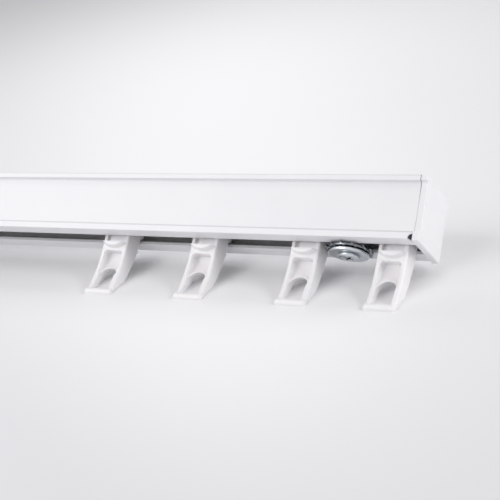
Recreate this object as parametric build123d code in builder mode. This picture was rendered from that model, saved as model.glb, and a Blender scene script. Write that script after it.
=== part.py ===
"""Curtain track with a flat recessed fascia, four moulded gliders and a clamped stop.

Millimetres. The origin is the centre of the top face, in the mouth of the bracket groove.
+X runs along the track to its right end, +Y points back to the wall, +Z points up.
"""
import os

from build123d import *

# Extrusion
track_length = 300.0
track_depth = 29.5
track_height = 30.0
wall = 1.3
flange_thickness = 1.5
slot_width = 12.6
bead_width = 1.4
bead_height = 0.8
channel_height = 9.6
lip_radius = 0.4

# Fascia: a proud band above and below a recessed panel
top_band_height = 2.7
bottom_band_height = 3.6
fascia_recess = 1.8
cove_radius = 1.2
band_edge_radius = 0.3

# Groove in the top face for the ceiling and wall brackets
groove_mouth = 9.0
groove_width = 14.0
groove_depth = 5.6

# Tapering round relief at the lower front corner of both ends
corner_relief_radius = 2.3
corner_relief_end_radius = 0.3
corner_relief_length = 6.5
corner_relief_up = 0.2

# End caps
cap_thickness = 3.1
cap_overhang_rear = 1.4
cap_overhang_low = 0.8
cap_edge_chamfer = 0.35
prong_length = 9.0
prong_width = 6.0
prong_clearance = 0.15
prong_chamfer = 0.8

# Gliders
glider_width = 14.2
glider_cheek = 1.9
arm_depth = 11.1
arm_bend_drop = 6.0
arm_front_end = 16.5
arm_drop = 32.75
arm_rear_waist = 2.7
arm_rear_waist_drop = 14.7
arm_rear_end = 12.5
arm_rear_end_drop = 32.2
arm_edge_chamfer = 0.5
arm_rear_end_radius = 0.9
tip_bar_radius = 1.95
tip_bar_reach = 15.5
tip_bar_width = 15.0
tip_bar_chamfer = 0.5
trough_depth = 4.3
trough_drop = 7.5
trough_curve_radius = 19.5
trough_corner_chamfer = 0.8
trough_top_chamfer = 1.2
trough_run_out = 22.5
pocket_depth = 4.3
eye_width = 9.2
eye_top_drop = 16.6
eye_bottom_drop = 28.9
eye_rim_width = 1.3
eye_rim_height = 0.6
ledge_drop = 3.6
ledge_projection = 3.2
ledge_chord = 11.3
ledge_base_chord = 13.6
ledge_sag = 2.2
ledge_base_sag = 2.7
rear_lip_projection = 2.7
head_clearance = 0.3
head_height = 2.6
head_overhang = 3.4
head_corner_radius = 1.6
head_edge_chamfer = 0.6

# Stop: a screw draws a nut plate down on the flanges and a toothed washer up against them
stop_clearance = 0.3
tooth_washer_radius = 11.0
tooth_ring_radius = 10.0
tooth_ring_thickness = 0.9
tooth_count = 12
tooth_width = 3.2
tooth_thickness = 0.5
tooth_twist = -35.0
washer_height = 2.3
disc_radius = 9.2
disc_thickness = 1.2
disc_edge_chamfer = 0.2
screw_radius = 2.5
screw_clearance = 0.2
screw_length = 12.0
screw_head_radius = 4.8
screw_head_height = 1.6
screw_head_chamfer = 0.6
recess_span = 5.6
recess_slot_width = 1.3
recess_depth = 1.2
recess_turn = 45.0
screw_tip_chamfer = 0.5
nut_plate_length = 19.0
nut_plate_width = 11.0
nut_plate_thickness = 3.0
nut_plate_corner_radius = 3.0

# Free ways between the pieces in the slot, from the right end cap to the left
cap_to_glider_4 = 4.2
glider_4_to_stop = 4.9
stop_to_glider_3 = 1.7
glider_3_to_glider_2 = 38.9
glider_2_to_glider_1 = 36.1

# Planes and faces that the pieces share
front = -track_depth / 2
rear = track_depth / 2
underside = -track_height
cap_inner = track_length / 2 - cap_thickness
slot_edge = slot_width / 2
panel_inner = front + fascia_recess + wall
channel_top = underside + channel_height
bead_top = underside + flange_thickness + bead_height
hollow_bottom = channel_top + wall
hollow_top = -flange_thickness
hollow_rear = rear - wall
groove_floor = -flange_thickness - groove_depth
groove_wall = groove_width / 2 + wall
arm_front = -arm_depth / 2
arm_rear = arm_depth / 2
tip_bar_y = arm_rear - tip_bar_reach
tip_bar_z = underside - arm_drop + tip_bar_radius
head_bottom = bead_top + head_clearance
washer_top = underside - stop_clearance
disc_top = washer_top - washer_height
disc_bottom = disc_top - disc_thickness
glider_4_x = cap_inner - cap_to_glider_4 - glider_width / 2
stop_x = glider_4_x - glider_width / 2 - glider_4_to_stop - tooth_washer_radius
glider_3_x = stop_x - tooth_washer_radius - stop_to_glider_3 - glider_width / 2
glider_2_x = glider_3_x - glider_3_to_glider_2 - glider_width
glider_1_x = glider_2_x - glider_2_to_glider_1 - glider_width


def fascia_outline():
    """Outer outline of the section, with the recessed panel and the cove under the top band."""
    Rectangle(track_depth, track_height, align=(Align.CENTER, Align.MAX))
    panel_top = -top_band_height
    panel_bottom = underside + bottom_band_height
    with BuildLine() as panel:
        Line((front, panel_bottom), (front + fascia_recess, panel_bottom))
        Line((front + fascia_recess, panel_bottom), (front + fascia_recess, panel_top - cove_radius))
        RadiusArc(
            (front + fascia_recess, panel_top - cove_radius),
            (front + fascia_recess - cove_radius, panel_top),
            -cove_radius,
        )
        Line((front + fascia_recess - cove_radius, panel_top), (front, panel_top))
        Line((front, panel_top), (front, panel_bottom))
    make_face(panel.edges(), mode=Mode.SUBTRACT)


def void(y_low, y_high, z_low, z_high):
    """Rectangular hollow of the section between two depths and two heights."""
    with Locations((y_low, z_low)):
        Rectangle(y_high - y_low, z_high - z_low, align=(Align.MIN, Align.MIN), mode=Mode.SUBTRACT)


def make_track():
    """Aluminium extrusion, one length of constant section."""
    with BuildPart() as track:
        with BuildSketch(Plane.YZ.offset(-cap_inner)) as section:
            fascia_outline()
            bands = section.vertices().group_by(Axis.X)[0]
            fillet(bands, band_edge_radius)
            # Glider channel, with the shallow pocket behind the lower band
            flange_top = underside + flange_thickness
            void(panel_inner, hollow_rear, flange_top, channel_top)
            void(front + wall, panel_inner, flange_top, underside + bottom_band_height - wall)
            void(-slot_edge, slot_edge, underside, flange_top)
            # Hollow above the channel, which takes the prongs of the end caps
            void(panel_inner, hollow_rear, hollow_bottom, hollow_top)
            with Locations((0, groove_floor - wall)):
                Rectangle(2 * groove_wall, hollow_top - groove_floor + wall, align=(Align.CENTER, Align.MIN))
            # Bracket groove with its two lips
            void(-groove_width / 2, groove_width / 2, groove_floor, hollow_top)
            void(-groove_mouth / 2, groove_mouth / 2, hollow_top, 0)
            # Running beads along both slot edges
            for side in (-1, 1):
                with Locations((side * (slot_edge + bead_width / 2), flange_top)):
                    Rectangle(bead_width, bead_height, align=(Align.CENTER, Align.MIN))
            slot_lips = section.vertices().filter_by_position(Axis.X, -slot_edge - bead_width, slot_edge + bead_width)
            slot_lips = slot_lips.filter_by_position(Axis.Y, underside, bead_top)
            outer_lips = [corner for corner in slot_lips if corner.Y < flange_top - lip_radius]
            bead_lips = [corner for corner in slot_lips if corner.Y > flange_top + lip_radius]
            fillet(outer_lips + bead_lips, lip_radius)
        extrude(amount=2 * cap_inner)
        # Relief at the lower front corner of both ends, narrower towards the back
        relief_z = underside + corner_relief_up
        with Locations((cap_inner, front, relief_z), (-cap_inner, front, relief_z)):
            Cone(
                corner_relief_radius,
                corner_relief_end_radius,
                corner_relief_length,
                rotation=(-90, 0, 0),
                align=(Align.CENTER, Align.CENTER, Align.MIN),
                mode=Mode.SUBTRACT,
            )
    return track


def make_end_cap(side):
    """Moulded cap with two prongs that grip inside the hollow of the extrusion."""
    with BuildPart() as cap:
        # The plate stands a little past the extrusion below and at the back
        with BuildSketch(Plane.YZ.offset(side * cap_inner)):
            fascia_outline()
            with Locations((front, underside)):
                Rectangle(track_depth + cap_overhang_rear, cap_overhang_low, align=(Align.MIN, Align.MAX))
            with Locations((rear, 0)):
                Rectangle(cap_overhang_rear, track_height, align=(Align.MIN, Align.MAX))
        extrude(amount=side * cap_thickness)
        outer_face = cap.faces().sort_by(Axis.X)[-1 if side > 0 else 0]
        chamfer(outer_face.edges(), cap_edge_chamfer)
        prong_low = hollow_bottom + prong_clearance
        prong_high = groove_floor - wall - prong_clearance
        front_prong = panel_inner + prong_clearance + prong_width / 2
        rear_prong = hollow_rear - prong_clearance - prong_width / 2
        with BuildSketch(Plane.YZ.offset(side * cap_inner)):
            with Locations((front_prong, (prong_low + prong_high) / 2), (rear_prong, (prong_low + prong_high) / 2)):
                Rectangle(prong_width, prong_high - prong_low)
        extrude(amount=-side * prong_length)
        prong_tips = cap.faces().filter_by(Axis.X).group_by(Axis.X)[0 if side > 0 else -1]
        chamfer(prong_tips.edges(), prong_chamfer)
    return cap


def half_moon(x_centre, chord, sag):
    """Segment of a circle, flat above and round below, hanging from the ledge line."""
    z_top = underside - ledge_drop
    with BuildLine() as moon:
        left = (x_centre - chord / 2, z_top)
        right = (x_centre + chord / 2, z_top)
        ThreePointArc(left, (x_centre, z_top - sag), right)
        Line(right, left)
    make_face(moon.edges())


def eye_outline(x_centre, radius):
    """Outline of the hook eye or of its rim, round above and flat below."""
    arch_centre = underside - eye_top_drop - eye_width / 2
    with Locations((x_centre, arch_centre)):
        Circle(radius)
        Rectangle(2 * radius, arch_centre - underside + eye_bottom_drop, align=(Align.CENTER, Align.MAX))


def make_trough(x_centre, depth):
    """Hollow between the cheeks of a glider, running out towards the tip."""
    floor_back = arm_front + depth
    fall = trough_run_out - trough_drop
    floor_shift = trough_curve_radius - (trough_curve_radius**2 - fall**2) ** 0.5
    with BuildPart() as trough:
        with BuildSketch(Plane.YZ.offset(x_centre)):
            with BuildLine():
                floor_top = (floor_back, underside - trough_drop)
                floor_end = (floor_back - floor_shift, underside - trough_run_out)
                TangentArc(floor_top, floor_end, tangent=(0, -1))
                Polyline(floor_end, (front, floor_end[1]), (front, floor_top[1]), floor_top)
            make_face()
        extrude(amount=glider_width / 2 - glider_cheek, both=True)
        floor = trough.faces().filter_by(GeomType.CYLINDER)[0]
        chamfer(floor.edges().filter_by(GeomType.CIRCLE), trough_corner_chamfer)
        top_corners = trough.edges().filter_by(Axis.Y).group_by(Axis.Z)[-1]
        chamfer(top_corners, trough_top_chamfer)
    return trough


def make_tip_bar(x_centre):
    """Round bar across the tip of a glider, a little wider than the arm."""
    with BuildPart() as bar:
        with BuildSketch(Plane.YZ.offset(x_centre)):
            with Locations((tip_bar_y, tip_bar_z)):
                Circle(tip_bar_radius)
        extrude(amount=tip_bar_width / 2, both=True)
        chamfer(bar.edges().filter_by(GeomType.CIRCLE), tip_bar_chamfer)
    return bar


def make_glider(x_centre):
    """Moulded glider: head on the beads, arm through the slot, trough, eye and two half-moon lips."""
    front_end = (arm_rear - arm_front_end, tip_bar_z)
    rear_end = (arm_rear - arm_rear_end, underside - arm_rear_end_drop)
    side_plane = Plane.YZ.offset(x_centre)
    with BuildPart() as glider:
        # Side view of the arm, curved forward like a tusk
        with BuildSketch(side_plane) as side_view:
            with BuildLine():
                bend = (arm_front, underside - arm_bend_drop)
                Line((arm_front, head_bottom), bend)
                TangentArc(bend, front_end, tangent=(0, -1))
                Polyline(front_end, (tip_bar_y, tip_bar_z - tip_bar_radius), rear_end)
                ThreePointArc(rear_end, (arm_rear_waist, underside - arm_rear_waist_drop), (arm_rear, underside))
                Line((arm_rear, underside), (arm_rear, head_bottom))
                Line((arm_rear, head_bottom), (arm_front, head_bottom))
            make_face()
            fillet(side_view.vertices().sort_by_distance(rear_end)[0], arm_rear_end_radius)
        extrude(amount=glider_width / 2, both=True)
        cheeks = glider.faces().filter_by(Axis.X)
        chamfer(cheeks.edges(), arm_edge_chamfer)
        # Trough, which leaves a raised rim round the eye
        add(make_trough(x_centre, trough_depth - eye_rim_height).part, mode=Mode.SUBTRACT)
        with BuildPart(mode=Mode.PRIVATE) as floor_round_rim:
            add(make_trough(x_centre, trough_depth).part)
            with BuildSketch(Plane.XZ.offset(-rear)):
                eye_outline(x_centre, eye_width / 2 + eye_rim_width)
            extrude(amount=2 * track_depth, mode=Mode.SUBTRACT)
        add(floor_round_rim.part, mode=Mode.SUBTRACT)
        # Pocket of the neck, above the ledge
        with BuildSketch(Plane.XY.offset(underside - ledge_drop)):
            with Locations((x_centre, front)):
                Rectangle(
                    glider_width - 2 * glider_cheek,
                    arm_front + pocket_depth - front,
                    align=(Align.CENTER, Align.MIN),
                )
        extrude(amount=head_bottom - underside + ledge_drop, mode=Mode.SUBTRACT)
        # Eye for the curtain hook
        with BuildSketch(Plane.XZ.offset(-rear)):
            eye_outline(x_centre, eye_width / 2)
        extrude(amount=2 * track_depth, mode=Mode.SUBTRACT)
        add(make_tip_bar(x_centre).part)
        # Front ledge, which widens back to the cheeks
        with BuildSketch(Plane.XZ.offset(-arm_front + ledge_projection)):
            half_moon(x_centre, ledge_chord, ledge_sag)
        with BuildSketch(Plane.XZ.offset(-arm_front - arm_edge_chamfer)):
            half_moon(x_centre, ledge_base_chord, ledge_base_sag)
        loft()
        # Rear lip, the mirror of the ledge
        with BuildSketch(Plane.XZ.offset(-arm_rear - rear_lip_projection)):
            half_moon(x_centre, ledge_chord, ledge_sag)
        with BuildSketch(Plane.XZ.offset(-arm_rear + arm_edge_chamfer)):
            half_moon(x_centre, ledge_base_chord, ledge_base_sag)
        loft()
        # Head, which runs on the two beads
        with BuildSketch(Plane.XY.offset(head_bottom)) as head:
            with Locations((x_centre, 0)):
                Rectangle(glider_width, arm_depth + 2 * head_overhang)
            fillet(head.vertices(), head_corner_radius)
        extrude(amount=head_height)
        chamfer(glider.faces().sort_by(Axis.Z)[-1].edges(), head_edge_chamfer)
    return glider


def make_tooth_washer():
    """Lock washer with twisted teeth round a flat ring."""
    middle = (washer_top + disc_top) / 2
    tooth_root = tooth_ring_radius - tooth_width / 2
    tooth_length = tooth_washer_radius - tooth_root
    with BuildPart() as washer:
        with BuildSketch(Plane.XY.offset(middle - tooth_ring_thickness / 2)):
            with Locations((stop_x, 0)):
                Circle(tooth_ring_radius)
                Circle(screw_radius + screw_clearance, mode=Mode.SUBTRACT)
        extrude(amount=tooth_ring_thickness)
        with Locations((stop_x, 0, middle)):
            with PolarLocations(tooth_root + tooth_length / 2, tooth_count):
                Box(tooth_length, tooth_width, tooth_thickness, rotation=(tooth_twist, 0, 0))
    return washer


def make_disc():
    """Flat disc under the toothed washer."""
    with BuildPart() as disc:
        with BuildSketch(Plane.XY.offset(disc_bottom)):
            with Locations((stop_x, 0)):
                Circle(disc_radius)
                Circle(screw_radius + screw_clearance, mode=Mode.SUBTRACT)
        extrude(amount=disc_thickness)
        lower_rims = disc.faces().sort_by(Axis.Z)[0].edges()
        chamfer(lower_rims.sort_by(SortBy.RADIUS)[-1], disc_edge_chamfer)
    return disc


def make_screw():
    """Pan-head screw with a cross recess, head down."""
    head_plane = Plane(origin=(stop_x, 0, disc_bottom), x_dir=(1, 0, 0), z_dir=(0, -1, 0))
    with BuildPart() as screw:
        with BuildSketch(head_plane):
            with BuildLine():
                Polyline(
                    (0, 0),
                    (screw_head_radius, 0),
                    (screw_head_radius, -screw_head_height + screw_head_chamfer),
                    (screw_head_radius - screw_head_chamfer, -screw_head_height),
                    (0, -screw_head_height),
                    close=True,
                )
            make_face()
        revolve(axis=Axis((stop_x, 0, 0), (0, 0, 1)))
        with BuildSketch(Plane.XY.offset(disc_bottom)):
            with Locations((stop_x, 0)):
                Circle(screw_radius)
        extrude(amount=screw_length)
        chamfer(screw.faces().sort_by(Axis.Z)[-1].edges(), screw_tip_chamfer)
        with BuildSketch(Plane.XY.offset(disc_bottom - screw_head_height)):
            with Locations((stop_x, 0)):
                Rectangle(recess_span, recess_slot_width, rotation=recess_turn)
                Rectangle(recess_slot_width, recess_span, rotation=recess_turn)
        extrude(amount=recess_depth, mode=Mode.SUBTRACT)
    return screw


def make_nut_plate():
    """Threaded plate in the channel, two opposite corners rounded so that it turns in the slot."""
    plate_bottom = bead_top + stop_clearance
    with BuildPart() as plate:
        with BuildSketch(Plane.XY.offset(plate_bottom)) as outline:
            with Locations((stop_x, 0)):
                Rectangle(nut_plate_width, nut_plate_length)
            corners = outline.vertices().sort_by(Axis.X)
            front_left = corners[:2].sort_by(Axis.Y)[0]
            rear_right = corners[2:].sort_by(Axis.Y)[-1]
            fillet([front_left, rear_right], nut_plate_corner_radius)
            with Locations((stop_x, 0)):
                Circle(screw_radius + screw_clearance, mode=Mode.SUBTRACT)
        extrude(amount=nut_plate_thickness)
    return plate


pieces = {
    "track_profile": make_track(),
    "end_cap_right": make_end_cap(1),
    "end_cap_left": make_end_cap(-1),
    "stop_tooth_washer": make_tooth_washer(),
    "stop_disc": make_disc(),
    "stop_screw": make_screw(),
    "stop_nut_plate": make_nut_plate(),
}
for number, glider_x in enumerate((glider_1_x, glider_2_x, glider_3_x, glider_4_x), start=1):
    pieces[f"glider_{number}"] = make_glider(glider_x)

os.makedirs("parts", exist_ok=True)
for name, piece in pieces.items():
    piece.part.label = name
    export_step(piece.part, f"parts/{name}.step")
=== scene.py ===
"""Looks of the curtain track, in metres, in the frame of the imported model.

The extrusion and the nut plate keep their solids and get their finishes. The gliders and the end caps
are remade from their solids with rounded edges. The screw, the disc and the toothed washer are made anew.
All stay in their places and inside the boxes of their nodes.
"""
import math

import bmesh
import bpy
from mathutils import Matrix, Vector


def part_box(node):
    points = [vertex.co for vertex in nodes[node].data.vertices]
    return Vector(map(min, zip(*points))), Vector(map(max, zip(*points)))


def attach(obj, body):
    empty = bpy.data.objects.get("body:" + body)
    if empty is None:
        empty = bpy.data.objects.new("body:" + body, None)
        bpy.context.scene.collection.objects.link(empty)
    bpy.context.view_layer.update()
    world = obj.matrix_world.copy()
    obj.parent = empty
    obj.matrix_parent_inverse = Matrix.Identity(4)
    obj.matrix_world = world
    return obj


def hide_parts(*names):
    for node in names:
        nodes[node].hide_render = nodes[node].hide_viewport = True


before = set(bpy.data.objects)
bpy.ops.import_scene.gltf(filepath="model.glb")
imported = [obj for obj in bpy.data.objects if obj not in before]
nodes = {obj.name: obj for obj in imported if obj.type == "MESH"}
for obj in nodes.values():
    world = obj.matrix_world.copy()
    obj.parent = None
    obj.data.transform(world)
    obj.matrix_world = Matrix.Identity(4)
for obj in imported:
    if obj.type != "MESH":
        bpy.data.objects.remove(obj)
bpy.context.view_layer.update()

# Camera
camera_place = (0.33156, -0.49078, -0.20042)
camera_turn = (106.953, -10.620, 25.574)
camera_lens = 89.07

# Sloping backdrop behind the gliders, and the floor far below. A pool of light is painted on the backdrop:
# it is palest along an axis that leans to the left with the distance up the slope, and painted darker to
# both sides and to its ends; the floor is painted darker the same way, faintly
backdrop_slope = 45.0
backdrop_drop = 0.0004
backdrop_span = 3.0
pale_axis_foot = 0.062
pale_axis_lean = -0.487
pale_width_foot = 0.107
pale_width_growth = 0.2345
pale_middle = 0.06
pale_length_share = 2.05
backdrop_light_pool_paint = (
    (0.0, (0.95, 0.95, 0.96)),
    (0.5, (0.95, 0.95, 0.96)),
    (1.0, (0.87, 0.87, 0.88)),
    (1.6, (0.80, 0.80, 0.82)),
)
floor_height = -0.42
floor_span = 6.0
floor_light_pool_paint = ((0.0, (0.80, 0.80, 0.81)), (2.0, (0.78, 0.78, 0.79)))

# Light. Each softbox is aimed at the middle of the track, or at its own aim: its turn is from the front
# towards the right end, its rise above the level, and its level the brightness that it gives a white
# face turned to it. The world is brighter where it is seen or mirrored than where it lights
world_colour = (0.985, 0.972, 0.992)
world_level = 0.40
world_seen_level = 0.86
softboxes = {
    "front": {"turn": -20.0, "rise": 0.0, "distance": 1.6, "size": 0.8, "level": 0.28},
    "side": {"turn": 88.0, "rise": 48.0, "distance": 1.1, "size": 0.4, "level": 0.17},
    "near_left": {"turn": -35.0, "rise": 12.0, "distance": 0.45, "size": 0.25, "level": 0.16},
    "right": {"turn": 70.0, "rise": 18.0, "distance": 1.2, "size": 0.35, "level": 0.26},
}
backdrop_box = {"turn": 4.0, "rise": 48.0, "distance": 0.42, "size": 0.25, "level": 0.35}
backdrop_aim = (-0.20, 0.28, 0.225)

# Extrusion: heights and depths of the places where its colour changes: the channel, partly bare metal and
# partly painted shade, and painted shade in the relief notch, in the cove, along the band edges and at the
# seams
channel_low = -0.0284
channel_high = -0.0200
channel_front = -0.0128
channel_rear = 0.0134
# Painted shade in the relief notch at each end of the extrusion
relief_length = 0.0022
relief_front = -0.0143
relief_rear = -0.0085
relief_low = -0.0296
relief_high = -0.0276
# Painted shade in the cove under the top band, between these heights
cove_low = -0.0078
cove_high = -0.0030
cove_fade = 0.0006
low_band_top = -0.0264
# Painted shade along the rounded upper edges of the bands, which face up
edge_line_height = 0.0008
edge_line_depth = 0.0010
# Painted shade in the seams at the caps, strongest at the top
seam_width = 0.00022
seam_strength = 0.9
channel_blur = 0.0002
edge_blur = 0.0001

# Moulded pieces: grid, rounding steps and kept share of the faces
glider_count = 4
glider_grid = (0.00018, 5, 0.22)
cap_grid = (0.00025, 4, 0.15)
box_inset = 0.000005
weld_distance = 0.000002

# Web that closes the neck of a glider but for a slit on its left
web_left = -0.0034
web_right = 0.0056
web_front = -0.0050
web_rear = -0.0008
web_low = -0.0338
web_high = -0.0280
slit_depth = 0.0012

# Draft of the gliders' eyes, which widen towards the back
eye_half_width = 0.0046
eye_top = -0.0466
eye_bottom = -0.0589
eye_front_at_top = -0.0045
eye_front_at_bottom = -0.0100
draft_length = 0.0105
draft_widening = 0.0013
draft_arc_steps = 20

# Screw
head_side_height = 0.0006
head_edge_round = 0.00025
recess_mouth = 0.0056
recess_slot = 0.0013
recess_floor = 0.0030
recess_floor_slot = 0.0009
recess_depth = 0.0013
recess_pit = 0.0020
recess_turn = 45.0
recess_reach = 0.004
shoulder_steps = 12
shoulder_reach = 1.5
shank_radius = 0.0025
thread_pitch = 0.0008
thread_depth = 0.00042
thread_steepness = 1.6
thread_rows_a_turn = 8
thread_sides = 40
turned_sides = 72

# Toothed washer and disc
washer_ring_radius = 0.0100
washer_ring_thickness = 0.0009
washer_bore = 0.0027
tooth_count = 12
tooth_width = 0.0032
tooth_thickness = 0.0005
tooth_twist = -35.0
tooth_twist_rate = 1.5
tooth_steps = 6
disc_edge_round = 0.0003

# Finishes: the part of the slow mottle over which a surface goes from its dark to its bright shade,
# and these shades
mottle_low = 0.3
mottle_high = 0.7
coat_shades = ((0.885, 0.885, 0.905), (0.905, 0.905, 0.920))
cap_shades = ((0.885, 0.880, 0.895), (0.905, 0.900, 0.915))
glider_shades = ((0.900, 0.888, 0.898), (0.915, 0.904, 0.914))
zinc_plate_shades = ((0.70, 0.73, 0.76), (0.82, 0.85, 0.88))
zinc_screw_shades = ((0.70, 0.74, 0.78), (0.82, 0.86, 0.90))
spring_steel_shades = ((0.20, 0.21, 0.23), (0.34, 0.36, 0.39))


def new_material(name):
    """Material with one Principled shader, and its nodes and links."""
    material = bpy.data.materials.new(name)
    material.use_nodes = True
    tree = material.node_tree
    return material, tree, tree.nodes["Principled BSDF"]


def group_tree(name, inputs, outputs):
    """Empty shader group with float inputs and typed outputs."""
    tree = bpy.data.node_groups.new(name, "ShaderNodeTree")
    for label, value in inputs.items():
        socket = tree.interface.new_socket(label, in_out="INPUT", socket_type="NodeSocketFloat")
        socket.default_value = value
    for label, kind in outputs.items():
        tree.interface.new_socket(label, in_out="OUTPUT", socket_type=kind)
    source = tree.nodes.new("NodeGroupInput")
    result = tree.nodes.new("NodeGroupOutput")
    return tree, source, result


def place_group(tree, group, **values):
    """Group placed in a material with its own values."""
    node = tree.nodes.new("ShaderNodeGroup")
    node.node_tree = group
    for label, value in values.items():
        node.inputs[label.replace("_", " ")].default_value = value
    return node


def noise(tree, vector, scale, detail):
    """Noise texture on a vector."""
    node = tree.nodes.new("ShaderNodeTexNoise")
    node.inputs["Detail"].default_value = detail
    if isinstance(scale, bpy.types.NodeSocket):
        tree.links.new(scale, node.inputs["Scale"])
    else:
        node.inputs["Scale"].default_value = scale
    tree.links.new(vector, node.inputs["Vector"])
    return node


def math_node(tree, operation, first, second):
    """Math node on two values or sockets."""
    node = tree.nodes.new("ShaderNodeMath")
    node.operation = operation
    for socket, value in zip(node.inputs, (first, second)):
        if isinstance(value, bpy.types.NodeSocket):
            tree.links.new(value, socket)
        else:
            socket.default_value = value
    return node.outputs[0]


def square(tree, value):
    """Square of a socket's value."""
    return math_node(tree, "MULTIPLY", value, value)


def line_value(tree, value, start, slope):
    """Start value plus slope times a socket's value."""
    return math_node(tree, "ADD", math_node(tree, "MULTIPLY", value, slope), start)


def fine_texture_group():
    """Fine skin of a sprayed or moulded surface: a height, and a slow mottle."""
    tree, source, result = group_tree(
        "fine_skin",
        {"Grain Scale": 2500.0, "Mottle Scale": 60.0},
        {"Height": "NodeSocketFloat", "Mottle": "NodeSocketFloat"},
    )
    place = tree.nodes.new("ShaderNodeTexCoord")
    grain = noise(tree, place.outputs["Object"], source.outputs["Grain Scale"], 2.0)
    mottle = noise(tree, place.outputs["Object"], source.outputs["Mottle Scale"], 3.0)
    tree.links.new(grain.outputs["Fac"], result.inputs["Height"])
    tree.links.new(mottle.outputs["Fac"], result.inputs["Mottle"])
    return tree


def mottled(tree, surface, dark, bright):
    """Colour that wanders slowly between two shades with the mottle of a placed group."""
    ramp = tree.nodes.new("ShaderNodeValToRGB")
    ramp.color_ramp.elements[0].position = mottle_low
    ramp.color_ramp.elements[0].color = (*dark, 1)
    ramp.color_ramp.elements[1].position = mottle_high
    ramp.color_ramp.elements[1].color = (*bright, 1)
    tree.links.new(surface.outputs["Mottle"], ramp.inputs["Fac"])
    return ramp.outputs["Color"]


def value_range(tree, mask, low, high):
    """Mask from 0 to 1 mapped to a range of values."""
    node = tree.nodes.new("ShaderNodeMapRange")
    node.inputs["To Min"].default_value = low
    node.inputs["To Max"].default_value = high
    tree.links.new(mask, node.inputs["Value"])
    return node.outputs["Result"]


def add_bump(tree, shader, height, distance, strength):
    """Bump from a height into the shader's normal."""
    bump = tree.nodes.new("ShaderNodeBump")
    bump.inputs["Distance"].default_value = distance
    bump.inputs["Strength"].default_value = strength
    tree.links.new(height, bump.inputs["Height"])
    tree.links.new(bump.outputs["Normal"], shader.inputs["Normal"])


def soft_step(tree, value, low, high):
    """Mask that rises smoothly from 0 at one value to 1 at another."""
    node = tree.nodes.new("ShaderNodeMapRange")
    node.interpolation_type = "SMOOTHSTEP"
    node.inputs["From Min"].default_value = low
    node.inputs["From Max"].default_value = high
    tree.links.new(value, node.inputs["Value"])
    return node.outputs["Result"]


def span_mask(tree, value, low, high, soft):
    """Mask that is 1 between two values."""
    rise = soft_step(tree, value, low - soft, low + soft)
    fall = soft_step(tree, value, high - soft, high + soft)
    return math_node(tree, "SUBTRACT", rise, fall)


def profile_group():
    """Masks where the extrusion's colour changes: the channel, partly bare metal and partly painted shade,
    and painted shade on its band edges, in the cove, at the seams and in the relief notch.
    """
    outputs = {name: "NodeSocketFloat" for name in ("Bare Metal And Shade", "Band Edge Shade", "Cove Shade", "Seam")}
    tree, source, result = group_tree("profile_places", {}, outputs)
    place = tree.nodes.new("ShaderNodeTexCoord")
    split = tree.nodes.new("ShaderNodeSeparateXYZ")
    tree.links.new(place.outputs["Object"], split.inputs["Vector"])
    along, depth, height = split.outputs
    # The channel: dark grey, partly bare metal and partly painted shade
    inside = span_mask(tree, height, channel_low, channel_high, channel_blur)
    behind = span_mask(tree, depth, channel_front, channel_rear, edge_blur)
    channel = math_node(tree, "MULTIPLY", inside, behind)
    end = math_node(tree, "ABSOLUTE", along, 0.0)
    # Painted shade in the relief notch at each end
    relief_start = track_high.x - relief_length
    near_end = soft_step(tree, end, relief_start - edge_blur, relief_start)
    relief_span = span_mask(tree, depth, relief_front, relief_rear, edge_blur)
    relief = math_node(tree, "MULTIPLY", near_end, relief_span)
    relief_span = span_mask(tree, height, relief_low, relief_high, edge_blur)
    relief = math_node(tree, "MULTIPLY", relief, relief_span)
    tree.links.new(channel, result.inputs["Bare Metal And Shade"])
    # Painted shade along the rounded upper edges of the bands, which face up
    top_line = soft_step(tree, height, track_high.z - edge_line_height, track_high.z)
    low_line = span_mask(tree, height, low_band_top - edge_line_height, low_band_top, edge_blur)
    front_face = soft_step(tree, depth, track_low.y + edge_line_depth, track_low.y + edge_line_depth / 2)
    lines = math_node(tree, "MAXIMUM", top_line, low_line)
    tree.links.new(math_node(tree, "MULTIPLY", lines, front_face), result.inputs["Band Edge Shade"])
    # Painted shade in the cove under the top band
    cove = soft_step(tree, height, cove_low, cove_high)
    above = soft_step(tree, height, cove_high + cove_fade, cove_high)
    tree.links.new(math_node(tree, "MULTIPLY", cove, above), result.inputs["Cove Shade"])
    # Painted shade in the seams at the caps, strongest at the top, and in the relief notch
    seam = soft_step(tree, end, track_high.x - seam_width, track_high.x - seam_width / 2)
    faint = value_range(tree, soft_step(tree, height, track_low.z / 2, 0.0), 0.0, seam_strength)
    seam_and_notch_shade = math_node(tree, "MAXIMUM", math_node(tree, "MULTIPLY", seam, faint), relief)
    tree.links.new(seam_and_notch_shade, result.inputs["Seam"])
    return tree


def mix_colour(tree, mask, base, other, strength):
    """Colour that turns to another by a mask and a strength."""
    node = tree.nodes.new("ShaderNodeMix")
    node.data_type = "RGBA"
    tree.links.new(math_node(tree, "MULTIPLY", mask, strength), node.inputs[0])
    tree.links.new(base, node.inputs[6])
    node.inputs[7].default_value = (*other, 1)
    return node.outputs[2]


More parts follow.
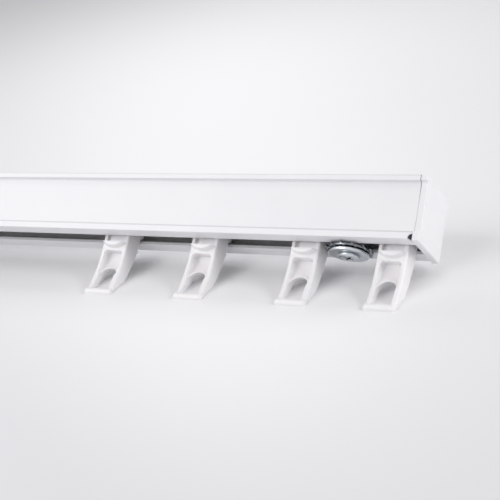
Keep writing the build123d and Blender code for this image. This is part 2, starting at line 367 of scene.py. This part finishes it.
def powder_coat(skin):
    """Satin white powder coat with a fine orange peel, dark grey in the channel as bare metal and painted
    shade, and painted shade in the cove, on the band edges, at the seams and in the relief notch.
    """
    material, tree, shader = new_material("powder_coat_white")
    peel = place_group(tree, skin, Grain_Scale=1400.0, Mottle_Scale=35.0)
    places = place_group(tree, profile_group())
    colour = mottled(tree, peel, *coat_shades)
    # Painted shade in the cove under the top band
    colour = mix_colour(tree, places.outputs["Cove Shade"], colour, (0.60, 0.59, 0.61), 0.22)
    # Painted shade along the upper edges of the bands
    colour = mix_colour(tree, places.outputs["Band Edge Shade"], colour, (0.45, 0.44, 0.46), 0.45)
    # Inside the channel: dark grey, partly bare metal and partly painted shade
    colour = mix_colour(tree, places.outputs["Bare Metal And Shade"], colour, (0.21, 0.20, 0.20), 1.0)
    # Painted shade in the seams at the caps and in the relief notch
    colour = mix_colour(tree, places.outputs["Seam"], colour, (0.08, 0.07, 0.07), 1.0)
    tree.links.new(colour, shader.inputs["Base Color"])
    tree.links.new(value_range(tree, peel.outputs["Mottle"], 0.34, 0.42), shader.inputs["Roughness"])
    add_bump(tree, shader, peel.outputs["Height"], 0.00003, 0.6)
    return material


def cap_plastic(skin):
    """White moulded plastic of the end caps, with a fine spark texture."""
    material, tree, shader = new_material("cap_plastic_white")
    grain = place_group(tree, skin, Grain_Scale=3000.0, Mottle_Scale=80.0)
    colour = mottled(tree, grain, *cap_shades)
    tree.links.new(colour, shader.inputs["Base Color"])
    tree.links.new(value_range(tree, grain.outputs["Mottle"], 0.40, 0.50), shader.inputs["Roughness"])
    add_bump(tree, shader, grain.outputs["Height"], 0.00002, 0.5)
    return material


def glider_plastic(skin):
    """White acetal, slightly translucent, so that its shades are warm."""
    material, tree, shader = new_material("glider_acetal_white")
    grain = place_group(tree, skin, Grain_Scale=2000.0, Mottle_Scale=150.0)
    colour = mottled(tree, grain, *glider_shades)
    tree.links.new(colour, shader.inputs["Base Color"])
    tree.links.new(value_range(tree, grain.outputs["Mottle"], 0.30, 0.40), shader.inputs["Roughness"])
    shader.inputs["Subsurface Weight"].default_value = 0.45
    shader.inputs["Subsurface Radius"].default_value = (1.0, 0.86, 0.78)
    shader.inputs["Subsurface Scale"].default_value = 0.0025
    add_bump(tree, shader, grain.outputs["Height"], 0.00002, 0.4)
    return material


def turning_group():
    """Fine rings about an upright axis, as a lathe or a press tool leaves them, and a slow zinc mottle."""
    tree, source, result = group_tree(
        "turning_rings",
        {"Centre": 0.0, "Ring Scale": 3000.0, "Mottle Scale": 400.0},
        {"Height": "NodeSocketFloat", "Mottle": "NodeSocketFloat"},
    )
    place = tree.nodes.new("ShaderNodeTexCoord")
    split = tree.nodes.new("ShaderNodeSeparateXYZ")
    tree.links.new(place.outputs["Object"], split.inputs["Vector"])
    along = math_node(tree, "SUBTRACT", split.outputs["X"], source.outputs["Centre"])
    squares = math_node(tree, "ADD", square(tree, along), square(tree, split.outputs["Y"]))
    radius = math_node(tree, "SQRT", squares, 0.0)
    rings = tree.nodes.new("ShaderNodeTexNoise")
    rings.noise_dimensions = "1D"
    tree.links.new(radius, rings.inputs["W"])
    tree.links.new(source.outputs["Ring Scale"], rings.inputs["Scale"])
    mottle = noise(tree, place.outputs["Object"], source.outputs["Mottle Scale"], 3.0)
    tree.links.new(rings.outputs["Fac"], result.inputs["Height"])
    tree.links.new(mottle.outputs["Fac"], result.inputs["Mottle"])
    return tree


def zinc_finish(name, rings, shades, roughness, recess_top=None):
    """Bright zinc plating over turned or pressed steel, with painted shade inside a driver recess."""
    material, tree, shader = new_material(name)
    marks = place_group(tree, rings, Centre=stop_centre.x)
    colour = mottled(tree, marks, *shades)
    if recess_top is not None:
        # Painted shade: the inside of the driver recess is painted nearly black
        colour = mix_colour(tree, recess_shade_mask(tree, recess_top), colour, (0.01, 0.01, 0.012), 1.0)
    tree.links.new(colour, shader.inputs["Base Color"])
    tree.links.new(value_range(tree, marks.outputs["Mottle"], *roughness), shader.inputs["Roughness"])
    shader.inputs["Metallic"].default_value = 1.0
    add_bump(tree, shader, marks.outputs["Height"], 0.00001, 0.5)
    return material


def recess_shade_mask(tree, face_height):
    """Mask of the places inside the driver recess, above the face of the head, where shade is painted."""
    place = tree.nodes.new("ShaderNodeTexCoord")
    split = tree.nodes.new("ShaderNodeSeparateXYZ")
    tree.links.new(place.outputs["Object"], split.inputs["Vector"])
    along = math_node(tree, "SUBTRACT", split.outputs["X"], stop_centre.x)
    squares = math_node(tree, "ADD", square(tree, along), square(tree, split.outputs["Y"]))
    radius = math_node(tree, "SQRT", squares, 0.0)
    near = soft_step(tree, radius, recess_mouth * 0.56, recess_mouth * 0.54)
    low, high = face_height + 2 * edge_blur, face_height + recess_reach
    deep = span_mask(tree, split.outputs["Z"], low, high, edge_blur)
    return math_node(tree, "MULTIPLY", near, deep)


def painted_light_pool_group():
    """Distance from the palest place of the pool of light painted on the backdrop, as a share of the pale
    width there.
    """
    tree, source, result = group_tree("painted_light_pool", {}, {"Distance": "NodeSocketFloat"})
    place = tree.nodes.new("ShaderNodeTexCoord")
    split = tree.nodes.new("ShaderNodeSeparateXYZ")
    tree.links.new(place.outputs["Object"], split.inputs["Vector"])
    across, up_slope = split.outputs["X"], split.outputs["Y"]
    axis = line_value(tree, up_slope, pale_axis_foot, pale_axis_lean)
    width = line_value(tree, up_slope, pale_width_foot, pale_width_growth)
    width = math_node(tree, "MAXIMUM", width, pale_width_foot / 2)
    aside = math_node(tree, "DIVIDE", math_node(tree, "SUBTRACT", across, axis), width)
    rise = math_node(tree, "DIVIDE", math_node(tree, "SUBTRACT", up_slope, pale_middle), width)
    rise = math_node(tree, "DIVIDE", rise, pale_length_share)
    squares = math_node(tree, "ADD", square(tree, aside), square(tree, rise))
    tree.links.new(math_node(tree, "SQRT", squares, 0.0), result.inputs["Distance"])
    return tree


def card_material(painted_light_pool, name, stops):
    """Matt card that is seen from its front only, with painted light: its colours go by the distance from
    the palest place.
    """
    material, tree, shader = new_material(name)
    shader.inputs["Roughness"].default_value = 1.0
    shader.inputs["Specular IOR Level"].default_value = 0.0
    distance = place_group(tree, painted_light_pool).outputs["Distance"]
    ramp = tree.nodes.new("ShaderNodeValToRGB")
    ramp.color_ramp.interpolation = "B_SPLINE"
    reach = stops[-1][0]
    ramp.color_ramp.elements[1].position = 1.0
    for position, colour in stops[1:-1]:
        ramp.color_ramp.elements.new(position / reach).color = (*colour, 1)
    ramp.color_ramp.elements[0].color = (*stops[0][1], 1)
    ramp.color_ramp.elements[-1].color = (*stops[-1][1], 1)
    tree.links.new(math_node(tree, "DIVIDE", distance, reach), ramp.inputs["Fac"])
    tree.links.new(ramp.outputs["Color"], shader.inputs["Base Color"])
    clear = tree.nodes.new("ShaderNodeBsdfTransparent")
    mix = tree.nodes.new("ShaderNodeMixShader")
    back = tree.nodes.new("ShaderNodeNewGeometry")
    output = tree.nodes["Material Output"]
    tree.links.new(back.outputs["Backfacing"], mix.inputs["Fac"])
    tree.links.new(shader.outputs["BSDF"], mix.inputs[1])
    tree.links.new(clear.outputs["BSDF"], mix.inputs[2])
    tree.links.new(mix.outputs["Shader"], output.inputs["Surface"])
    return material


def object_from(name, mesh):
    """Object for a mesh, in the scene."""
    piece = bpy.data.objects.new(name, mesh)
    bpy.context.scene.collection.objects.link(piece)
    return piece


def settle(piece):
    """Applies the modifiers of a piece to its mesh."""
    bpy.context.view_layer.update()
    shape = bpy.data.meshes.new_from_object(piece.evaluated_get(bpy.context.evaluated_depsgraph_get()))
    piece.modifiers.clear()
    piece.data = shape


def dress(piece, material):
    """Gives the whole piece one material and smooth shading."""
    piece.data.materials.clear()
    piece.data.materials.append(material)
    piece.data.shade_smooth()


def finished_mesh(shape, name):
    """Mesh from a finished edit shape."""
    mesh = bpy.data.meshes.new(name)
    shape.to_mesh(mesh)
    shape.free()
    return mesh


def join_into(piece, extra):
    """Adds another object's mesh to a piece, and removes the object."""
    shape = bmesh.new()
    shape.from_mesh(piece.data)
    shape.from_mesh(extra.data)
    piece.data = finished_mesh(shape, piece.name)
    bpy.data.objects.remove(extra)


def bridge(shape, first, second):
    """Band of faces between two closed rings of points."""
    for index in range(len(first)):
        following = (index + 1) % len(first)
        shape.faces.new((first[index], first[following], second[following], second[index]))


def soften_edges(piece, width, angle):
    """Small bevel on every edge of a piece that is sharper than an angle."""
    soften = piece.modifiers.new("soften", "BEVEL")
    soften.width = width
    soften.segments = 2
    soften.limit_method = "ANGLE"
    soften.angle_limit = math.radians(angle)
    settle(piece)


def middle(node):
    """Centre of a node's box."""
    low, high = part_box(node)
    return (low + high) / 2


def draft_cutter(centre_x):
    """Cutter that follows the eye through the arm and widens towards the back."""
    shape = bmesh.new()
    arch_height = eye_top - eye_half_width
    rings = []
    for share in (0.0, 1.0):
        half_width = eye_half_width + draft_widening * share
        outline = [(half_width, eye_bottom - draft_widening * share / 2)]
        for step in range(draft_arc_steps + 1):
            turn = math.pi * step / draft_arc_steps
            outline.append((half_width * math.cos(turn), arch_height + half_width * math.sin(turn)))
        outline.append((-half_width, outline[0][1]))
        ring = []
        for aside, height in outline:
            slope = (height - eye_bottom) / (eye_top - eye_bottom)
            front = eye_front_at_bottom + (eye_front_at_top - eye_front_at_bottom) * slope
            ring.append(shape.verts.new((centre_x + aside, front + draft_length * share, height)))
        rings.append(ring)
    bridge(shape, *rings)
    shape.faces.new(rings[0])
    shape.faces.new(rings[1])
    bmesh.ops.recalc_face_normals(shape, faces=shape.faces)
    return object_from("draft_cutter", finished_mesh(shape, "draft_cutter"))


def neck_web(centre_x):
    """Block that closes the neck between the cheeks, with a shallow slit at its left."""
    slit_front = web_front + slit_depth
    outline = [(web_left, web_front), (web_right, web_front), (web_right, web_rear)]
    outline += [(-web_right, web_rear), (-web_right, slit_front), (web_left, slit_front)]
    shape = bmesh.new()
    low = [shape.verts.new((centre_x + x, y, web_low)) for x, y in outline]
    high = [shape.verts.new((centre_x + x, y, web_high)) for x, y in outline]
    shape.faces.new(reversed(low))
    shape.faces.new(high)
    bridge(shape, low, high)
    return object_from("neck_web", finished_mesh(shape, "neck_web"))


def kept_in_box(mesh, node):
    """Holds every point of a mesh just inside the box of its node."""
    low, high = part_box(node)
    for vertex in mesh.vertices:
        for axis in range(3):
            vertex.co[axis] = min(max(vertex.co[axis], low[axis] + box_inset), high[axis] - box_inset)


def moulded(node, grid, changes=()):
    """Mesh of a node with every edge and inner corner rounded, as it leaves the mould."""
    voxel, steps, kept_share = grid
    mesh = nodes[node].data.copy()
    shell = bmesh.new()
    shell.from_mesh(mesh)
    bmesh.ops.remove_doubles(shell, verts=shell.verts, dist=weld_distance)
    shell.to_mesh(mesh)
    shell.free()
    blank = object_from(f"{node}_blank", mesh)
    for operation, tool in changes:
        change = blank.modifiers.new("change", "BOOLEAN")
        change.operation = operation
        change.object = tool
        change.solver = "EXACT"
    skin = blank.modifiers.new("skin", "REMESH")
    skin.mode = "VOXEL"
    skin.voxel_size = voxel
    rounding = blank.modifiers.new("rounding", "SMOOTH")
    rounding.iterations = steps
    rounding.factor = 0.5
    saving = blank.modifiers.new("saving", "DECIMATE")
    saving.ratio = kept_share
    settle(blank)
    mesh = blank.data
    bpy.data.objects.remove(blank)
    kept_in_box(mesh, node)
    return mesh


def make_gliders(material):
    """The four gliders, copies of one moulding at the places of their nodes."""
    centre_x = middle("glider_1").x
    changes = (("DIFFERENCE", draft_cutter(centre_x)), ("UNION", neck_web(centre_x)))
    moulding = moulded("glider_1", glider_grid, changes)
    for _, tool in changes:
        bpy.data.objects.remove(tool)
    for number in range(1, glider_count + 1):
        node = f"glider_{number}"
        mesh = moulding.copy()
        mesh.transform(Matrix.Translation(middle(node) - middle("glider_1")))
        glider = object_from(f"{node}_moulding", mesh)
        dress(glider, material)
        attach(glider, f"{node}_body")
        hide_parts(node)


def make_end_caps(material):
    """The two end caps with their moulded edges."""
    for side in ("left", "right"):
        node = f"end_cap_{side}"
        cap = object_from(f"{node}_moulding", moulded(node, cap_grid))
        dress(cap, material)
        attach(cap, "track")
        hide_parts(node)


def turned_mesh(name, outline, centre):
    """Solid of revolution about the upright axis through a centre, from (radius, height) points."""
    shape = bmesh.new()
    points = [shape.verts.new((centre.x + radius, centre.y, height)) for radius, height in outline]
    edges = [shape.edges.new(pair) for pair in zip(points, points[1:])]
    bmesh.ops.spin(
        shape,
        geom=points + edges,
        cent=(centre.x, centre.y, 0),
        axis=(0, 0, 1),
        angle=2 * math.pi,
        steps=turned_sides,
    )
    bmesh.ops.remove_doubles(shape, verts=shape.verts, dist=weld_distance / 4)
    bmesh.ops.recalc_face_normals(shape, faces=shape.faces)
    return finished_mesh(shape, name)


def quarter(centre_radius, centre_height, size, start, steps=5):
    """Points of a quarter circle in an outline, from a start angle in degrees."""
    points = []
    for step in range(steps + 1):
        turn = math.radians(start + 90 * step / steps)
        points.append((centre_radius + size * math.cos(turn), centre_height + size * math.sin(turn)))
    return points


def cross_outline(span, slot):
    """The twelve corners of a turned cross, all round."""
    arm, half = span / 2, slot / 2
    corner = [(arm, -half), (arm, half), (half, half)]
    points = []
    for turn in range(4):
        angle = math.radians(recess_turn + 90 * turn)
        cosine, sine = math.cos(angle), math.sin(angle)
        points += [(x * cosine - y * sine, x * sine + y * cosine) for x, y in corner]
    return points


def recess_cutter(centre, face):
    """Tapered cross with a point, which cuts the driver recess up into the head."""
    shape = bmesh.new()
    rings = []
    for span, slot, height in (
        (recess_mouth * 1.1, recess_slot * 1.1, face - recess_depth / 2),
        (recess_floor, recess_floor_slot, face + recess_depth),
    ):
        ring = [shape.verts.new((centre.x + x, centre.y + y, height)) for x, y in cross_outline(span, slot)]
        rings.append(ring)
    bridge(shape, *rings)
    shape.faces.new(rings[0])
    tip = shape.verts.new((centre.x, centre.y, face + recess_pit))
    for point, following in zip(rings[1], rings[1][1:] + rings[1][:1]):
        shape.faces.new((point, following, tip))
    bmesh.ops.recalc_face_normals(shape, faces=shape.faces)
    return object_from("recess_cutter", finished_mesh(shape, "recess_cutter"))


def head_outline(face, seat, radius):
    """Pan head: flat seat, short side, round shoulder and a slightly domed face."""
    shoulder = seat - face - head_side_height
    points = [(0, seat), (radius - head_edge_round, seat)]
    points += reversed(quarter(radius - head_edge_round, seat - head_edge_round, head_edge_round, 0))
    for step in range(shoulder_steps + 1):
        turn = math.radians(90 * step / shoulder_steps)
        across = radius - shoulder * shoulder_reach * (1 - math.cos(turn))
        points.append((across, seat - head_side_height - shoulder * math.sin(turn)))
    points.append((0, face))
    return points


def threaded_shank(bottom, top):
    """Shank with a rolled thread, from the head up to its chamfered tip."""
    shape = bmesh.new()
    row_count = int((top - bottom) / thread_pitch * thread_rows_a_turn)
    rows = []
    for row in range(row_count + 1):
        height = bottom + (top - bottom) * row / row_count
        end_share = min(1.0, (top - height) / thread_pitch)
        ring = []
        for side in range(thread_sides):
            turn = side / thread_sides
            phase = ((height - bottom) / thread_pitch - turn) % 1.0
            cut = thread_depth * min(1.0, thread_steepness * abs(1 - 2 * phase))
            radius = shank_radius - cut * end_share - thread_depth * (1 - end_share)
            angle = 2 * math.pi * turn
            across = stop_centre.x + radius * math.cos(angle)
            back = stop_centre.y + radius * math.sin(angle)
            ring.append(shape.verts.new((across, back, height)))
        rows.append(ring)
    for lower, upper in zip(rows, rows[1:]):
        bridge(shape, lower, upper)
    shape.faces.new(rows[0])
    shape.faces.new(rows[-1])
    bmesh.ops.recalc_face_normals(shape, faces=shape.faces)
    return finished_mesh(shape, "threaded_shank")


def make_screw(material):
    """Pan-head screw, head down, with a driver recess and a rolled thread."""
    low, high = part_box("stop_screw")
    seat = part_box("stop_disc")[0].z
    outline = head_outline(low.z, seat, (high.x - low.x) / 2)
    head = object_from("stop_pan_head_screw", turned_mesh("pan_head", outline, stop_centre))
    cutter = recess_cutter(stop_centre, low.z)
    recess = head.modifiers.new("recess", "BOOLEAN")
    recess.object = cutter
    recess.solver = "EXACT"
    settle(head)
    bpy.data.objects.remove(cutter)
    soften_edges(head, 0.0001, 35)
    shank = object_from("shank", threaded_shank(seat - head_side_height / 2, high.z))
    join_into(head, shank)
    dress(head, material)
    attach(head, "stop")
    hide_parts("stop_screw")


def washer_tooth(shape, turn, middle_height, root, tip):
    """One tooth of the washer, flat at its root and twisted towards its tip."""
    across = Matrix.Rotation(turn, 4, "Z")
    place = Matrix.Translation((stop_centre.x, stop_centre.y, middle_height))
    sections = []
    for step in range(tooth_steps + 1):
        share = step / tooth_steps
        radius = root + (tip - root) * share
        half_width = tooth_width / 2
        if step == tooth_steps:
            half_width -= tooth_thickness / 2
        twist = Matrix.Rotation(math.radians(tooth_twist) * min(1.0, tooth_twist_rate * share), 4, "X")
        corners = ((-1, -1), (1, -1), (1, 1), (-1, 1))
        section = []
        for wide, thick in corners:
            corner = twist @ Vector((0, wide * half_width, thick * tooth_thickness / 2))
            corner.x = radius
            section.append(shape.verts.new(place @ across @ corner))
        sections.append(section)
    for inner, outer in zip(sections, sections[1:]):
        bridge(shape, inner, outer)
    shape.faces.new(sections[0])
    shape.faces.new(sections[-1])


def make_lock_washer(material):
    """Spring washer with twisted teeth round its flat ring."""
    low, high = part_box("stop_tooth_washer")
    middle_height = (low.z + high.z) / 2
    ring_low = middle_height - washer_ring_thickness / 2
    ring_high = middle_height + washer_ring_thickness / 2
    outline = [
        (washer_bore, ring_low),
        (washer_ring_radius, ring_low),
        (washer_ring_radius, ring_high),
        (washer_bore, ring_high),
        (washer_bore, ring_low),
    ]
    washer = object_from("stop_lock_washer", turned_mesh("washer_ring", outline, stop_centre))
    shape = bmesh.new()
    root = washer_ring_radius - tooth_width / 2
    for number in range(tooth_count):
        turn = 2 * math.pi * number / tooth_count
        washer_tooth(shape, turn, middle_height, root, (high.x - low.x) / 2 - tooth_thickness / 4)
    bmesh.ops.recalc_face_normals(shape, faces=shape.faces)
    teeth = object_from("washer_teeth", finished_mesh(shape, "washer_teeth"))
    join_into(washer, teeth)
    soften_edges(washer, 0.00006, 40)
    dress(washer, material)
    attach(washer, "stop")
    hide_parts("stop_tooth_washer")


def make_pressed_disc(material):
    """Pressed disc with rounded rims."""
    low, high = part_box("stop_disc")
    radius = (high.x - low.x) / 2
    outline = [(washer_bore, low.z)]
    outline += quarter(radius - disc_edge_round, low.z + disc_edge_round, disc_edge_round, -90)
    outline += quarter(radius - disc_edge_round / 2, high.z - disc_edge_round / 2, disc_edge_round / 2, 0)
    outline += [(washer_bore, high.z), (washer_bore, low.z)]
    disc = object_from("stop_pressed_disc", turned_mesh("pressed_disc", outline, stop_centre))
    dress(disc, material)
    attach(disc, "stop")
    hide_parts("stop_disc")


def add_softbox(name, aim, turn, rise, distance, size, level):
    """Square softbox aimed at a place."""
    turn = math.radians(turn)
    rise = math.radians(rise)
    away = Vector((math.sin(turn) * math.cos(rise), -math.cos(turn) * math.cos(rise), math.sin(rise)))
    light = bpy.data.lights.new(name, "AREA")
    light.shape = "SQUARE"
    light.size = size
    light.energy = level * math.pi**2 * distance**2
    lamp = bpy.data.objects.new(name, light)
    lamp.location = aim + away * distance
    lamp.rotation_euler = away.to_track_quat("Z", "Y").to_euler()
    bpy.context.scene.collection.objects.link(lamp)


def make_light():
    """Plain soft studio light."""
    world = bpy.data.worlds.new("studio")
    world.use_nodes = True
    tree = world.node_tree
    background = tree.nodes["Background"]
    background.inputs["Color"].default_value = (*world_colour, 1)
    path = tree.nodes.new("ShaderNodeLightPath")
    mirrored = math_node(tree, "ADD", path.outputs["Is Glossy Ray"], path.outputs["Is Transmission Ray"])
    seen = math_node(tree, "ADD", path.outputs["Is Camera Ray"], mirrored)
    strength = value_range(tree, seen, world_level, world_seen_level)
    tree.links.new(strength, background.inputs["Strength"])
    bpy.context.scene.world = world
    for name, box in softboxes.items():
        add_softbox(f"{name}_softbox", track_middle, **box)
    add_softbox("backdrop_softbox", Vector(backdrop_aim), **backdrop_box)


def make_card(name, place, slope, span, material):
    """Flat card through a place, tilted back by its slope."""
    half = span / 2
    corners = ((-half, -half, 0), (half, -half, 0), (half, half, 0), (-half, half, 0))
    mesh = bpy.data.meshes.new(name)
    mesh.from_pydata(corners, [], [(0, 1, 2, 3)])
    mesh.materials.append(material)
    card = object_from(name, mesh)
    card.rotation_euler = (math.radians(slope), 0, 0)
    card.location = place


def make_camera():
    """Camera at the photo's viewing angle: low, to the right, looking up."""
    view = bpy.data.cameras.new("camera")
    view.lens = camera_lens
    camera = bpy.data.objects.new("camera", view)
    camera.location = camera_place
    camera.rotation_euler = [math.radians(angle) for angle in camera_turn]
    bpy.context.scene.collection.objects.link(camera)
    bpy.context.scene.camera = camera


track_low, track_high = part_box("track_profile")
track_middle = (track_low + track_high) / 2
stop_centre = middle("stop_disc")
glider_low, glider_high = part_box("glider_1")

head_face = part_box("stop_screw")[0].z
skin = fine_texture_group()
rings = turning_group()
nodes["track_profile"].material_slots[0].material = powder_coat(skin)
make_end_caps(cap_plastic(skin))
make_gliders(glider_plastic(skin))
zinc_plate = zinc_finish("zinc_plate", rings, zinc_plate_shades, (0.25, 0.35))
# The screw's finish has painted shade in its driver recess
zinc_screw = zinc_finish("zinc_screw", rings, zinc_screw_shades, (0.18, 0.26), head_face)
spring_steel = zinc_finish("spring_steel", rings, spring_steel_shades, (0.14, 0.24))
nodes["stop_nut_plate"].material_slots[0].material = zinc_plate
make_pressed_disc(zinc_plate)
make_lock_washer(spring_steel)
make_screw(zinc_screw)

make_camera()
make_light()
card_foot = Vector((0, glider_low.y, glider_low.z - backdrop_drop))
# Painted pool of light on the backdrop and, faintly, on the floor
painted_light_pool = painted_light_pool_group()
backdrop_card = card_material(painted_light_pool, "backdrop_card", backdrop_light_pool_paint)
floor_card = card_material(painted_light_pool, "floor_card", floor_light_pool_paint)
make_card("backdrop", card_foot, backdrop_slope, backdrop_span, backdrop_card)
make_card("floor", (0, 0, floor_height), 0, floor_span, floor_card)

bpy.context.scene.view_settings.view_transform = "Standard"
